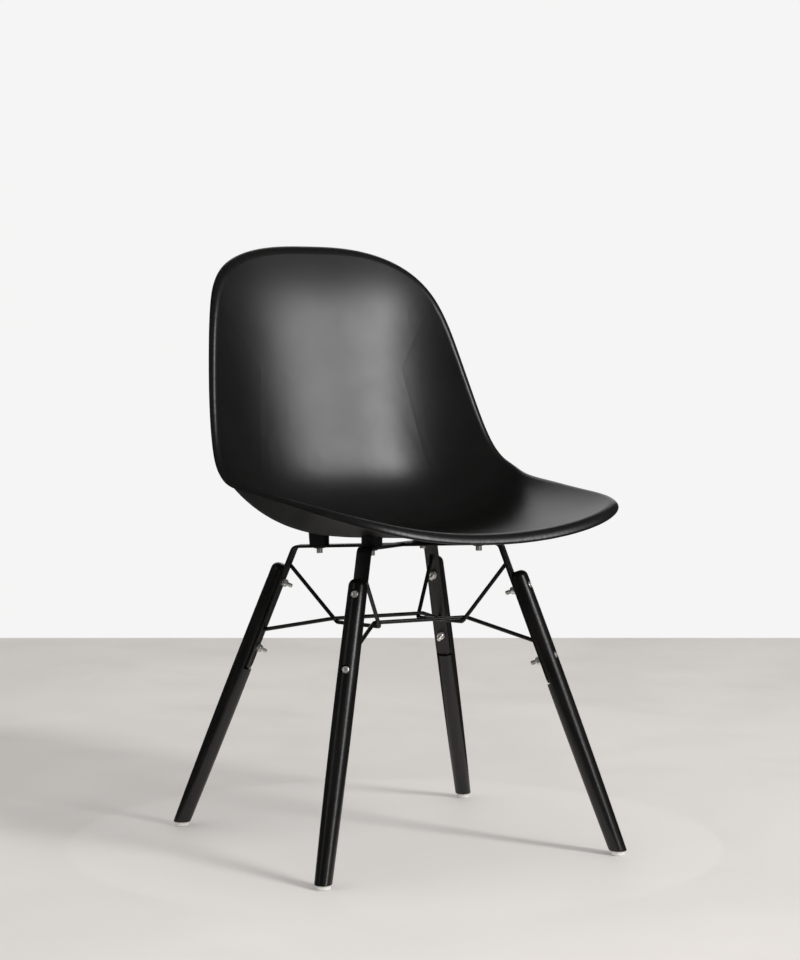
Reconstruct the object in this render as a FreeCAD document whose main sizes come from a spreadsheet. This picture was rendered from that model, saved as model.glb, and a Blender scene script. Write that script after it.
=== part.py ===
import FreeCAD, Part
import math
import os
import Sketcher

# Moulded plastic shell chair on a steel strap base with four turned wooden legs.
# Millimetres and degrees. The chair faces -Y, its left side is +X and +Z is up.
# The origin is on the floor, at the middle of the chair's outline.

SIZES = {
    # Glides under the legs
    "glide_height": 6.0,
    "glide_radius": 9.5,
    "glide_edge_radius": 1.2,
    "nail_radius": 1.1,
    "nail_depth": 14.0,
    "nail_head_radius": 3.0,
    "nail_head_height": 1.0,
    "nail_recess_depth": 1.8,
    # Legs, in their own frame with Z along the turned axis
    "front_lean_angle": 20.83,
    "rear_lean_angle": 22.42,
    "front_leg_top_gap": 42.4,
    "rear_leg_top_gap": 29.1,
    "leg_foot_radius": 11.3,
    "leg_belly_radius": 13.4,
    "leg_belly_height": 215.0,
    "leg_top_radius": 12.5,
    "leg_crown_radius": 9.5,
    "leg_foot_edge": 0.8,
    "leg_flat_inset": 6.3,
    "leg_flat_clearance": 1.0,
    # Bolts that hold each leg to its strap
    "upper_bolt_drop": 23.0,
    "bolt_spacing": 100.0,
    "bolt_radius": 3.0,
    "bolt_clearance": 0.2,
    "bolt_head_radius": 5.5,
    "bolt_head_height": 3.3,
    "bolt_head_round": 2.2,
    "bolt_seat_inset": 8.8,
    "bolt_seat_margin": 0.6,
    "bolt_stub": 8.0,
    "socket_width": 4.0,
    "socket_depth": 1.9,
    "nut_width": 10.0,
    "nut_height": 6.5,
    # Flat steel straps, with the reach of each arm's bend from the crossing along the diagonal
    "strap_width": 20.0,
    "strap_thickness": 4.0,
    "crossing_setback": 10.6,
    "strap_height": 409.9,
    "strap_slope_angle": 2.4,
    "front_bend_reach": 145.7,
    "rear_bend_reach": 150.9,
    "strap_bend_radius": 7.0,
    "strap_tail": 33.0,
    "strap_end_radius": 6.5,
    # Round steel brace rods, with their ring hung below the straps
    "rod_radius": 2.75,
    "rod_bend_radius": 6.0,
    "rod_weld_depth": 2.0,
    "ring_drop": 108.0,
    "ring_half_width": 62.9,
    "ring_front": 66.0,
    "ring_rear": 59.7,
    "side_rod_overrun": 2.0,
    "cross_rod_overrun": 7.0,
    "front_side_joint_rise": 38.8,
    "rear_side_joint_rise": 27.9,
    "cross_joint_rise": 25.6,
    # Shell mounts
    "mount_spread": 114.2,
    "boss_radius": 13.7,
    "boss_draft_angle": 2.0,
    "insert_radius": 4.5,
    "insert_length": 11.0,
    "mount_screw_radius": 3.0,
    "mount_screw_grip": 10.0,
    "mount_head_radius": 4.3,
    "mount_head_height": 7.0,
    "mount_socket_depth": 3.5,
    "washer_radius": 7.5,
    "washer_thickness": 1.2,
    # Seat shell: the profile down its middle, measured from the crossing and the height of the straps
    "spine_front": 263.5,
    "spine_front_rise": 32.2,
    "spine_length": 795.9,
    "seat_pitch_angle": 3.7,
    "front_turn_angle": -2.2,
    "front_turn_length": 86.0,
    "bend_turn_angle": 79.6,
    "bend_centre": 399.0,
    "bend_length": 258.8,
    "top_turn_angle": 13.95,
    "top_turn_length": 146.3,
    # Seat shell: half widths and side rises that steer smooth curves from the front edge to the top edge
    "front_half_width": 259.0,
    "knee_half_width": 217.1,
    "thigh_half_width": 222.5,
    "hip_half_width": 218.9,
    "waist_half_width": 204.3,
    "shoulder_half_width": 200.2,
    "top_half_width": 234.5,
    "front_side_rise": 55.9,
    "knee_side_rise": 53.3,
    "thigh_side_rise": 67.3,
    "hip_side_rise": 84.7,
    "waist_side_rise": 43.0,
    "shoulder_side_rise": 37.7,
    "top_side_rise": 43.5,
    "front_rise_power": 2.09,
    "rear_rise_power": 3.25,
    "rise_blend_share": 0.4,
    "front_corner_power": 4.52,
    "top_corner_power": 2.91,
    # Seat shell: wall and rolled rim
    "shell_wall": 5.0,
    "side_rim_radius": 8.1,
    "front_rim_radius": 14.8,
    "top_rim_radius": 22.4,
    "rim_turn_angle": 78.0,
    "rim_blend_power": 9.0,
}

CORNERS = ("front_left", "front_right", "rear_left", "rear_right")
AZIMUTHS = {"front_left": -45.0, "front_right": -135.0, "rear_left": 45.0, "rear_right": 135.0}

Vector = FreeCAD.Vector
Placement = FreeCAD.Placement
Rotation = FreeCAD.Rotation
AXIS_X = Vector(1, 0, 0)
AXIS_Y = Vector(0, 1, 0)
AXIS_Z = Vector(0, 0, 1)

# How near two places are to count as one
TOUCH = 0.01

doc = FreeCAD.newDocument("shell_chair")
sheet = doc.addObject("Spreadsheet::Sheet", "Sizes")
for row, (alias, number) in enumerate(SIZES.items(), start=1):
    sheet.set(f"A{row}", alias)
    sheet.set(f"B{row}", str(number))
    sheet.setAlias(f"B{row}", alias)
doc.recompute()

sub_parts = []


def size(alias):
    """A driving dimension, read back from the sheet."""
    return float(sheet.get(alias))


def formula(text):
    """The same expression with every size name pointing at the sheet."""
    words = []
    word = ""
    for letter in text + " ":
        if letter.isalnum() or letter == "_":
            word += letter
            continue
        words.append(f"Sizes.{word}" if word in SIZES else word)
        words.append(letter)
        word = ""
    return "".join(words).strip()


def number_of(text):
    """The value of an expression over the sheet."""
    return float(sheet.evalExpression(formula(text)))


# Part design helpers

def new_body(label, placement):
    body = doc.addObject("PartDesign::Body", label)
    body.Label = label
    body.Placement = placement
    sub_parts.append(body)
    return body


def plane_of(body, role):
    return next(item for item in body.Origin.OriginFeatures if item.Role == role)


def new_sketch(body, name, role, shift=(), turn_axis=None, turn=None):
    """A sketch on one of the body's own planes, moved and turned by expressions."""
    sketch = body.newObject("Sketcher::SketchObject", name)
    sketch.AttachmentSupport = [(plane_of(body, role), "")]
    sketch.MapMode = "FlatFace"
    if turn is not None:
        sketch.AttachmentOffset = Placement(Vector(), Rotation(turn_axis, number_of(turn)))
        sketch.setExpression("AttachmentOffset.Rotation.Angle", formula(turn))
    for axis, text in shift:
        sketch.setExpression(f"AttachmentOffset.Base.{axis}", formula(text))
    return sketch


def bind(item, path, text):
    item.setExpression(path, formula(text))


def add_circle(sketch, radius, across="", up=""):
    """A circle whose radius and centre are bound to expressions."""
    centre = Vector(number_of(across) if across else 0, number_of(up) if up else 0, 0)
    index = sketch.addGeometry(Part.Circle(centre, AXIS_Z, number_of(radius)), False)
    where = sketch.addConstraint(Sketcher.Constraint("Radius", index, number_of(radius)))
    bind(sketch, f"Constraints[{where}]", radius)
    place_point(sketch, index, 3, across, up)


def place_point(sketch, index, end, across, up):
    """Hold a point of the sketch at expressions, or on an axis where the expression is empty."""
    for kind, text, axis in (("DistanceX", across, -2), ("DistanceY", up, -1)):
        if text:
            value = number_of(text)
            where = sketch.addConstraint(Sketcher.Constraint(kind, -1, 1, index, end, value))
            bind(sketch, f"Constraints[{where}]", text)
        else:
            sketch.addConstraint(Sketcher.Constraint("PointOnObject", index, end, axis))


def add_outline(sketch, corners):
    """A closed run of straight lines through corners given as pairs of expressions."""
    points = [Vector(number_of(x) if x else 0, number_of(y) if y else 0, 0) for x, y in corners]
    first = sketch.GeometryCount
    count = len(points)
    for index in range(count):
        sketch.addGeometry(Part.LineSegment(points[index], points[(index + 1) % count]), False)
    for index in range(count):
        after = first + (index + 1) % count
        sketch.addConstraint(Sketcher.Constraint("Coincident", first + index, 2, after, 1))
    for index, (across, up) in enumerate(corners):
        place_point(sketch, first + index, 1, across, up)


def add_hexagon(sketch, width):
    """A hexagon about the origin, its width across flats bound to an expression."""
    corners = []
    for step in range(6):
        angle = 60 * step
        across = f"{width} / cos(30) / 2 * cos({angle})"
        up = f"{width} / cos(30) / 2 * sin({angle})" if step % 3 else ""
        corners.append((across, up))
    add_outline(sketch, corners)


def pad(body, name, sketch, length, both_ways=False, down=False):
    feature = body.newObject("PartDesign::Pad", name)
    feature.Profile = sketch
    feature.Midplane = both_ways
    feature.Reversed = down
    bind(feature, "Length", length)
    doc.recompute()
    return feature


def pocket(body, name, sketch, length, both_ways=False, up=False):
    """A cut that must take material away."""
    before = body.Shape.Volume
    feature = body.newObject("PartDesign::Pocket", name)
    feature.Profile = sketch
    feature.Midplane = both_ways
    feature.Reversed = up
    bind(feature, "Length", length)
    doc.recompute()
    if body.Shape.Volume >= before:
        raise RuntimeError(f"{name} of {body.Label} cuts nothing")
    return feature


def round_edges(body, name, kind, edges, length):
    """A fillet or chamfer on the edges that a test picks out of the body's tip."""
    base = body.Tip
    names = [f"Edge{index}" for index, edge in enumerate(base.Shape.Edges, start=1) if edges(edge)]
    if not names:
        raise RuntimeError(f"{name} of {body.Label} finds no edge")
    feature = body.newObject(f"PartDesign::{kind}", name)
    feature.Base = (base, names)
    bind(feature, "Radius" if kind == "Fillet" else "Size", length)
    doc.recompute()
    return feature


def middle(edge):
    box = edge.BoundBox
    return Vector((box.XMin + box.XMax) / 2, (box.YMin + box.YMax) / 2, (box.ZMin + box.ZMax) / 2)


# Places and frames that the pieces share

def end_of(corner):
    return "front" if corner.startswith("front") else "rear"


def from_crossing(corner):
    """On the floor under the crossing of the straps, X running outwards to a corner."""
    crossing = Vector(0, -size("crossing_setback"), 0)
    return Placement(crossing, Rotation(AXIS_Z, AZIMUTHS[corner]))


def bend_height(end):
    """Height of an arm's bend above the foot of its leg, with the straps falling towards the rear."""
    rise = "" if end == "front" else "-"
    return f"(strap_height - glide_height + {rise}{end}_bend_reach * tan(strap_slope_angle))"


def foot_reach(end):
    """How far a leg's foot stands from the crossing of the straps, along the diagonal."""
    lean = f"{end}_lean_angle"
    return f"({end}_bend_reach + leg_flat_inset / cos({lean}) + {bend_height(end)} * tan({lean}))"


def leg_length(end):
    """Length of a leg, which ends a little below the bend of its strap."""
    return f"({bend_height(end)} / cos({end}_lean_angle) - {end}_leg_top_gap)"


def leg_frame(corner):
    """Origin at the foot's centre, Z up the leg's axis, X outwards."""
    end = end_of(corner)
    foot = Vector(number_of(foot_reach(end)), 0, size("glide_height"))
    return from_crossing(corner) * Placement(foot, Rotation(AXIS_Y, -size(f"{end}_lean_angle")))


def mount_frame(corner):
    """Origin on the strap's top face at a shell mount, Z out of that face."""
    slope = size("strap_slope_angle") if end_of(corner) == "front" else -size("strap_slope_angle")
    top_run = Placement(Vector(0, 0, size("strap_height")), Rotation(AXIS_Y, -slope))
    return from_crossing(corner) * top_run * Placement(Vector(size("mount_spread"), 0, 0), Rotation())


def bolt_height(end, which):
    """Where a leg bolt is, along the leg's axis from the foot."""
    upper = f"{leg_length(end)} - upper_bolt_drop"
    return upper if which == "upper" else f"{upper} - bolt_spacing"


# Turned wooden legs

def add_turned_profile(sketch, foot, top):
    """Half of the spindle: a long curve from foot to top over the belly, closed along the axis."""
    marks = [("", foot), ("leg_foot_radius", foot), ("leg_top_radius", top), ("", top)]
    points = [Vector(number_of(x) if x else 0, number_of(y), 0) for x, y in marks]
    belly = Vector(size("leg_belly_radius"), size("leg_belly_height"), 0)
    swell = Part.BSplineCurve()
    swell.interpolate([points[1], belly, points[2]])
    sketch.addGeometry(Part.LineSegment(points[0], points[1]), False)
    sketch.addGeometry(swell, False)
    sketch.addGeometry(Part.LineSegment(points[2], points[3]), False)
    sketch.addGeometry(Part.LineSegment(points[3], points[0]), False)
    for index, (across, up) in enumerate(marks):
        sketch.addConstraint(Sketcher.Constraint("Coincident", index, 2, (index + 1) % 4, 1))
        place_point(sketch, index, 1, across, up)


def make_leg(corner):
    end = end_of(corner)
    lean = f"{end}_lean_angle"
    length = leg_length(end)
    body = new_body(f"leg_{corner}", leg_frame(corner))
    profile = new_sketch(body, "profile", "XZ_Plane")
    foot = f"-(leg_foot_radius * tan({lean}) + 1)"
    add_turned_profile(profile, foot, length)
    turned = body.newObject("PartDesign::Revolution", "turned")
    turned.Profile = profile
    turned.ReferenceAxis = (profile, ["V_Axis"])
    turned.Angle = 360
    doc.recompute()
    height = number_of(length)
    round_edges(body, "crown", "Fillet", lambda edge: abs(middle(edge).z - height) < TOUCH,
                "leg_crown_radius")
    floor = new_sketch(body, "floor", "XY_Plane", (), AXIS_Y, lean)
    add_circle(floor, "leg_foot_radius * 3")
    pocket(body, "floor_cut", floor, "leg_foot_radius * 3")
    nail = new_sketch(body, "nail", "XY_Plane", (), AXIS_Y, lean)
    add_circle(nail, "nail_radius")
    pocket(body, "nail_bore", nail, "nail_depth - glide_height + nail_recess_depth", up=True)
    flat = new_sketch(body, "flat", "XZ_Plane")
    flat_foot = f"{bolt_height(end, 'lower')} - strap_tail - leg_flat_clearance"
    add_outline(flat, [("-leg_flat_inset", flat_foot), ("-leg_flat_inset", f"{length} + 1"),
                       ("-leg_belly_radius * 2", f"{length} + 1"),
                       ("-leg_belly_radius * 2", flat_foot)])
    pocket(body, "flat_cut", flat, "leg_belly_radius * 3", both_ways=True)
    holes = new_sketch(body, "holes", "YZ_Plane")
    seats = new_sketch(body, "seats", "YZ_Plane", (("z", "bolt_seat_inset"),))
    for which in ("upper", "lower"):
        add_circle(holes, "bolt_radius + bolt_clearance", "", bolt_height(end, which))
        add_circle(seats, "bolt_head_radius + bolt_seat_margin", "", bolt_height(end, which))
    pocket(body, "bolt_holes", holes, "leg_belly_radius * 3", both_ways=True)
    pocket(body, "bolt_seats", seats, "leg_belly_radius", up=True)
    round_edges(body, "foot_edge", "Chamfer",
                lambda edge: (abs(middle(edge).z) < size("leg_foot_edge")
                              and edge.Length > math.pi * size("leg_foot_radius")),
                "leg_foot_edge")


def make_glide(corner):
    frame = leg_frame(corner)
    body = new_body(f"glide_{corner}", Placement(Vector(frame.Base.x, frame.Base.y, 0), Rotation()))
    disc = new_sketch(body, "disc", "XY_Plane")
    add_circle(disc, "glide_radius")
    add_circle(disc, "nail_radius")
    pad(body, "glide", disc, "glide_height")
    radius = size("glide_radius")
    round_edges(body, "edge", "Fillet",
                lambda edge: abs(middle(edge).z) < TOUCH and edge.BoundBox.XLength > radius,
                "glide_edge_radius")
    recess = new_sketch(body, "recess", "XY_Plane")
    add_circle(recess, "nail_head_radius + bolt_clearance")
    pocket(body, "nail_recess", recess, "nail_recess_depth", up=True)


def make_glide_nail(corner):
    frame = leg_frame(corner)
    seat = Vector(frame.Base.x, frame.Base.y, size("nail_recess_depth"))
    body = new_body(f"glide_nail_{corner}", Placement(seat, Rotation()))
    shank = new_sketch(body, "shank", "XY_Plane")
    add_circle(shank, "nail_radius")
    pad(body, "nail", shank, "nail_depth")
    head = new_sketch(body, "head", "XY_Plane")
    add_circle(head, "nail_head_radius")
    pad(body, "nail_head", head, "nail_head_height", down=True)


# Bolts, nuts and screws

def make_bolt(label, placement):
    """A button head bolt: the head sits on Z = 0 and the shank runs down."""
    body = new_body(label, placement)
    head = new_sketch(body, "head", "XY_Plane")
    add_circle(head, "bolt_head_radius")
    pad(body, "button", head, "bolt_head_height")
    top = size("bolt_head_height")
    round_edges(body, "dome", "Fillet", lambda edge: abs(middle(edge).z - top) < TOUCH,
                "bolt_head_round")
    socket = new_sketch(body, "socket", "XY_Plane", (("z", "bolt_head_height"),))
    add_hexagon(socket, "socket_width")
    pocket(body, "hex_socket", socket, "socket_depth")
    shank = new_sketch(body, "shank", "XY_Plane")
    add_circle(shank, "bolt_radius")
    grip = "bolt_seat_inset + leg_flat_inset + strap_thickness + nut_height + bolt_stub"
    pad(body, "bolt", shank, grip, down=True)


def make_nut(label, placement):
    """A hexagon nut standing on Z = 0."""
    body = new_body(label, placement)
    outline = new_sketch(body, "outline", "XY_Plane")
    add_hexagon(outline, "nut_width")
    add_circle(outline, "bolt_radius")
    pad(body, "nut", outline, "nut_height")


def make_leg_fasteners(corner):
    end = end_of(corner)
    for which in ("upper", "lower"):
        height = number_of(bolt_height(end, which))
        seat = Vector(size("bolt_seat_inset"), 0, height)
        inner = Vector(-size("leg_flat_inset") - size("strap_thickness"), 0, height)
        frame = leg_frame(corner)
        make_bolt(f"leg_bolt_{corner}_{which}", frame * Placement(seat, Rotation(AXIS_Y, 90)))
        make_nut(f"leg_nut_{corner}_{which}", frame * Placement(inner, Rotation(AXIS_Y, -90)))


def make_mount_fasteners(corner):
    """The screw, washer and threaded insert of one shell mount."""
    frame = mount_frame(corner)
    under = Vector(0, 0, -size("strap_thickness"))
    washer = new_body(f"mount_washer_{corner}", frame * Placement(under, Rotation()))
    ring = new_sketch(washer, "ring", "XY_Plane")
    add_circle(ring, "washer_radius")
    add_circle(ring, "mount_screw_radius + bolt_clearance")
    pad(washer, "washer", ring, "washer_thickness", down=True)

    seat = Vector(0, 0, -size("strap_thickness") - size("washer_thickness"))
    screw = new_body(f"mount_screw_{corner}", frame * Placement(seat, Rotation()))
    head = new_sketch(screw, "head", "XY_Plane")
    add_circle(head, "mount_head_radius")
    pad(screw, "cap", head, "mount_head_height", down=True)
    socket = new_sketch(screw, "socket", "XY_Plane", (("z", "-mount_head_height"),))
    add_hexagon(socket, "socket_width")
    pocket(screw, "hex_socket", socket, "mount_socket_depth", up=True)
    shank = new_sketch(screw, "shank", "XY_Plane")
    add_circle(shank, "mount_screw_radius")
    pad(screw, "screw", shank, "washer_thickness + strap_thickness + mount_screw_grip")

    insert = new_body(f"thread_insert_{corner}", frame)
    tube = new_sketch(insert, "tube", "XY_Plane")
    add_circle(tube, "insert_radius")
    add_circle(tube, "mount_screw_radius")
    pad(insert, "insert", tube, "insert_length")


# Bent steel straps, drawn from the side in the diagonal plane

def arm_point(end, along, inset):
    """A point beside the leg's axis, as expressions in the diagonal plane."""
    lean = f"{end}_lean_angle"
    sign = "" if end == "front" else "-"
    out = f"{foot_reach(end)} - ({along}) * sin({lean}) - ({inset}) * cos({lean})"
    up = f"glide_height + ({along}) * cos({lean}) - ({inset}) * sin({lean})"
    return f"{sign}({out})", up


def bend_point(end, inset, drop):
    """Where a face of the arm meets a face of the sloping top run."""
    lean = f"{end}_lean_angle"
    rise = "tan(strap_slope_angle)" if end == "front" else "-tan(strap_slope_angle)"
    height = f"strap_height - ({drop}) / cos(strap_slope_angle)"
    foot = f"{foot_reach(end)} - ({inset}) / cos({lean})"
    out = f"(({foot}) - (({height}) - glide_height) * tan({lean})) / (1 + ({rise}) * tan({lean}))"
    sign = "" if end == "front" else "-"
    return f"{sign}({out})", f"{height} + ({out}) * ({rise})"


def arm_corners(end):
    """The end, outer bend and inner bend of one arm."""
    tip = f"{bolt_height(end, 'lower')} - strap_tail"
    inner = "leg_flat_inset + strap_thickness"
    outer_end = arm_point(end, tip, "leg_flat_inset")
    inner_end = arm_point(end, tip, inner)
    outer_bend = bend_point(end, "leg_flat_inset", "0")
    inner_bend = bend_point(end, inner, "strap_thickness")
    return outer_end, outer_bend, inner_bend, inner_end


def values(corner):
    return Vector(number_of(corner[0]), 0, number_of(corner[1]))


def bend_and_round(body, ends):
    """Round the bends of the arms and the corners of their lower ends."""
    arms = [[values(corner) for corner in arm_corners(end)] for end in ends]

    def beside(edge, point):
        centre = middle(edge)
        return abs(centre.x - point.x) < TOUCH and abs(centre.z - point.z) < TOUCH

    def across(edge):
        return edge.BoundBox.YLength > size("strap_width") / 2

    round_edges(body, "outer_bends", "Fillet",
                lambda edge: across(edge) and any(beside(edge, arm[1]) for arm in arms),
                "strap_bend_radius + strap_thickness")
    round_edges(body, "inner_bends", "Fillet",
                lambda edge: across(edge) and any(beside(edge, arm[2]) for arm in arms),
                "strap_bend_radius")
    tips = [(arm[0] + arm[3]) * 0.5 for arm in arms]
    round_edges(body, "tips", "Fillet",
                lambda edge: not across(edge) and any(beside(edge, tip) for tip in tips),
                "strap_end_radius")


def drill_arm(body, end):
    """The two bolt holes of one arm, square to it."""
    turn = f"-{end}_lean_angle" if end == "front" else f"{end}_lean_angle"
    out = foot_reach(end) if end == "front" else f"-{foot_reach(end)}"
    sketch = new_sketch(body, f"{end}_holes", "YZ_Plane", (("y", "glide_height"), ("z", out)), AXIS_X, turn)
    for which in ("upper", "lower"):
        add_circle(sketch, "bolt_radius + bolt_clearance", "", bolt_height(end, which))
    pocket(body, f"{end}_bolt_holes", sketch, "strap_width * 2", both_ways=True)


def drill_mounts(body, ends):
    """The holes for the mount screws, square to the top run."""
    sketch = new_sketch(body, "mounts", "XY_Plane", (("z", "strap_height"),), AXIS_Y, "-strap_slope_angle")
    for end in ends:
        across = "mount_spread" if end == "front" else "-mount_spread"
        add_circle(sketch, "mount_screw_radius + bolt_clearance", across, "")
    pocket(body, "mount_holes", sketch, "strap_thickness * 3", both_ways=True)


def make_long_strap():
    """The strap that runs unbroken from the front left leg to the rear right one."""
    body = new_body("cross_strap_long", from_crossing("front_left"))
    side = new_sketch(body, "side", "XZ_Plane")
    add_outline(side, list(arm_corners("front")[:2]) + list(reversed(arm_corners("rear")[:2]))
                + list(reversed(arm_corners("rear")[2:])) + list(arm_corners("front")[2:]))
    pad(body, "strap", side, "strap_width", both_ways=True)
    bend_and_round(body, ("front", "rear"))
    drill_mounts(body, ("front", "rear"))
    for end in ("front", "rear"):
        drill_arm(body, end)


def make_half_strap(label, end):
    """One half of the other strap, welded to the side of the long one."""
    body = new_body(label, from_crossing("front_right"))
    side = new_sketch(body, "side", "XZ_Plane")
    sign = "" if end == "front" else "-"
    weld = f"{sign}strap_width / 2"
    top = f"strap_height + {weld} * tan(strap_slope_angle)"
    bottom = f"{top} - strap_thickness / cos(strap_slope_angle)"
    arm = arm_corners(end)
    add_outline(side, [arm[0], arm[1], (weld, top), (weld, bottom), arm[2], arm[3]])
    pad(body, "strap", side, "strap_width", both_ways=True)
    bend_and_round(body, (end,))
    drill_mounts(body, (end,))
    drill_arm(body, end)


# Bent brace rods, whose paths leave any one plane

def strap_joint(corner, along):
    """A point just inside a strap's inner face, on its middle line."""
    end = end_of(corner)
    inset = "leg_flat_inset + strap_thickness - rod_weld_depth"
    out, up = arm_point(end, along, inset)
    return from_crossing(corner).multVec(Vector(abs(number_of(out)), 0, number_of(up)))


def ring_point(side, depth, lift):
    """A corner of the rod ring, in its plane parallel to the shell mounts."""
    slope = math.tan(math.radians(size("strap_slope_angle"))) * math.sqrt(2)
    height = size("strap_height") - size("ring_drop") - depth * slope
    return Vector(side, depth - size("crossing_setback"), height + lift)


def rod_path(points, radius):
    """Straight runs through the points, joined by tangent arcs."""
    edges = []
    start = points[0]
    for before, corner, after in zip(points, points[1:], points[2:]):
        inward = (before - corner).normalize()
        onward = (after - corner).normalize()
        turn = math.pi - inward.getAngle(onward)
        reach = radius * math.tan(turn / 2)
        entry = corner + inward * reach
        leave = corner + onward * reach
        bisector = (inward + onward).normalize()
        halfway = corner + bisector * (radius / math.cos(turn / 2) - radius)
        edges.append(Part.makeLine(start, entry))
        edges.append(Part.Arc(entry, halfway, leave).toShape())
        start = leave
    edges.append(Part.makeLine(start, points[-1]))
    return Part.Wire(edges)


def make_rod(label, points, straps):
    """A round rod along a bent path, its ends cut to the faces of the straps."""
    path = rod_path(points, size("rod_bend_radius"))
    direction = (points[1] - points[0]).normalize()
    section = Part.Wire([Part.makeCircle(size("rod_radius"), points[0], direction)])
    rod = path.makePipeShell([section], True, False)
    for strap in straps:
        rod = rod.cut(strap.Shape)
    rod = max(rod.Solids, key=lambda solid: solid.Volume)
    feature = doc.addObject("Part::Feature", label)
    feature.Label = label
    feature.Shape = rod
    feature.Placement = Placement()
    sub_parts.append(feature)


def make_rods():
    straps = [doc.getObject(name) for name in
              ("cross_strap_long", "cross_strap_front", "cross_strap_rear")]
    width = size("ring_half_width")
    front = -size("ring_front")
    rear = size("ring_rear")
    for side, sign in (("left", 1), ("right", -1)):
        rises = {end: f"{bolt_height(end, 'upper')} + {end}_side_joint_rise" for end in ("front", "rear")}
        points = [strap_joint(f"front_{side}", rises["front"]),
                  ring_point(sign * width, front - size("side_rod_overrun"), 0),
                  ring_point(sign * width, rear + size("side_rod_overrun"), 0),
                  strap_joint(f"rear_{side}", rises["rear"])]
        make_rod(f"brace_rod_{side}", points, straps)
    for end, depth in (("front", front), ("rear", rear)):
        rise = f"{bolt_height(end, 'lower')} + cross_joint_rise"
        reach = width + size("cross_rod_overrun")
        lift = 2 * size("rod_radius")
        points = [strap_joint(f"{end}_left", rise), ring_point(reach, depth, lift),
                  ring_point(-reach, depth, lift), strap_joint(f"{end}_right", rise)]
        make_rod(f"brace_rod_{end}", points, straps)


# Seat shell: a moulded surface with a rolled rim

def ease(share):
    """A smooth step from 0 to 1."""
    share = min(max(share, 0.0), 1.0)
    return share * share * (3 - 2 * share)


def spine_heading(run):
    """Direction of the middle profile, from level towards upright, at a length from the front."""
    length = size("spine_length")
    half = size("bend_length") / 2
    heading = -size("seat_pitch_angle") + size("front_turn_angle") * (1 - ease(run / size("front_turn_length")))
    heading += size("bend_turn_angle") * ease((run - size("bend_centre") + half) / (2 * half))
    return heading - size("top_turn_angle") * ease((run - length) / size("top_turn_length") + 1)


def spine_table(steps=400):
    """Points and headings down the middle of the shell, from the front edge to the top edge."""
    step = size("spine_length") / steps
    depth = -size("crossing_setback") - size("spine_front")
    height = size("strap_height") + size("spine_front_rise")
    rows = []
    for index in range(steps + 1):
        heading = math.radians(spine_heading(index * step))
        rows.append((depth, height, heading))
        following = math.radians(spine_heading((index + 1) * step))
        depth += step * (math.cos(heading) + math.cos(following)) / 2
        height += step * (math.sin(heading) + math.sin(following)) / 2
    return rows


def station_value(steering, share):
    """A smooth curve steered by values at even stations, which meets the first and the last."""
    last = len(steering) - 1
    place = min(max(share, 0.0), 1.0) * last
    index = min(int(place), last - 1)
    f = place - index
    here = steering[index]
    there = steering[index + 1]
    before = steering[index - 1] if index > 0 else 2 * here - there
    beyond = steering[index + 2] if index + 2 <= last else 2 * there - here
    return (before * (1 - f) ** 3 + here * (3 * f ** 3 - 6 * f ** 2 + 4)
            + there * (-3 * f ** 3 + 3 * f ** 2 + 3 * f + 1) + beyond * f ** 3) / 6


STATIONS = ("front", "knee", "thigh", "hip", "waist", "shoulder", "top")
SPINE = spine_table()
HALF_WIDTHS = [size(f"{name}_half_width") for name in STATIONS]
SIDE_RISES = [size(f"{name}_side_rise") for name in STATIONS]
FRONT_RISE = size("front_rise_power")
REAR_RISE = size("rear_rise_power")
RISE_BLEND = size("rise_blend_share")
FRONT_POWER = size("front_corner_power")
TOP_POWER = size("top_corner_power")
BLEND_POWER = size("rim_blend_power")
WALL = size("shell_wall")
RIM_TURN = math.radians(size("rim_turn_angle"))
SIDE_RIM = size("side_rim_radius")
FRONT_RIM = size("front_rim_radius")
TOP_RIM = size("top_rim_radius")

# How the shell is divided into faces: a bulged middle square, four bands round it and four rims
CORE = 0.55
CORE_BULGE = 0.14
SIDE_STEPS = 16
BAND_STEPS = 6
ROLL_STEPS = 5
LIP_STEPS = 3

# The step for measuring directions on the shell, in plan units
NUDGE = 0.001


def shell_point(across, along):
    """A point of the seating face; both arguments run from -1 to 1 over the shell's plan."""
    share = (1 + along) / 2
    place = min(max(share, 0.0), 1.0) * (len(SPINE) - 1)
    index = min(int(place), len(SPINE) - 2)
    f = place - index
    depth, height, heading = [a + (b - a) * f for a, b in zip(SPINE[index], SPINE[index + 1])]
    power = REAR_RISE + (FRONT_RISE - REAR_RISE) * (1 - ease(share / RISE_BLEND))
    rise = station_value(SIDE_RISES, share) * abs(across) ** power
    return Vector(station_value(HALF_WIDTHS, share) * across,
                  depth - math.sin(heading) * rise, height + math.cos(heading) * rise)


def shell_normal(across, along):
    """The seating face's normal, towards the sitter."""
    inward = -NUDGE if along > 0 else NUDGE
    sideways = shell_point(across + NUDGE, along) - shell_point(across - NUDGE, along)
    lengthways = (shell_point(across, along + inward) - shell_point(across, along)) * (1 / inward)
    return sideways.cross(lengthways).normalize()


def plan_outline(angle):
    """The shell's plan outline, a rounded square in plan units, at a polar angle."""
    c = math.cos(angle)
    s = math.sin(angle)
    power = TOP_POWER if s > 0 else FRONT_POWER
    reach = (abs(c) ** power + abs(s) ** power) ** (-1 / power)
    return reach * c, reach * s


def core_point(across, along):
    """The bulged square at the middle of the plan."""
    return (CORE * across * (1 + CORE_BULGE * (1 - along ** 2)),
            CORE * along * (1 + CORE_BULGE * (1 - across ** 2)))


def side_angle(quarter, share):
    """The polar angle along one of the four sides of the plan."""
    return math.radians(90 * quarter - 45 + 90 * share)


def band_point(quarter, share, out):
    """A plan point between the middle square and the outline."""
    along = 2 * share - 1
    x, y = core_point(1, along)
    for _ in range(quarter):
        x, y = -y, x
    edge_x, edge_y = plan_outline(side_angle(quarter, share))
    return x + (edge_x - x) * out, y + (edge_y - y) * out


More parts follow.
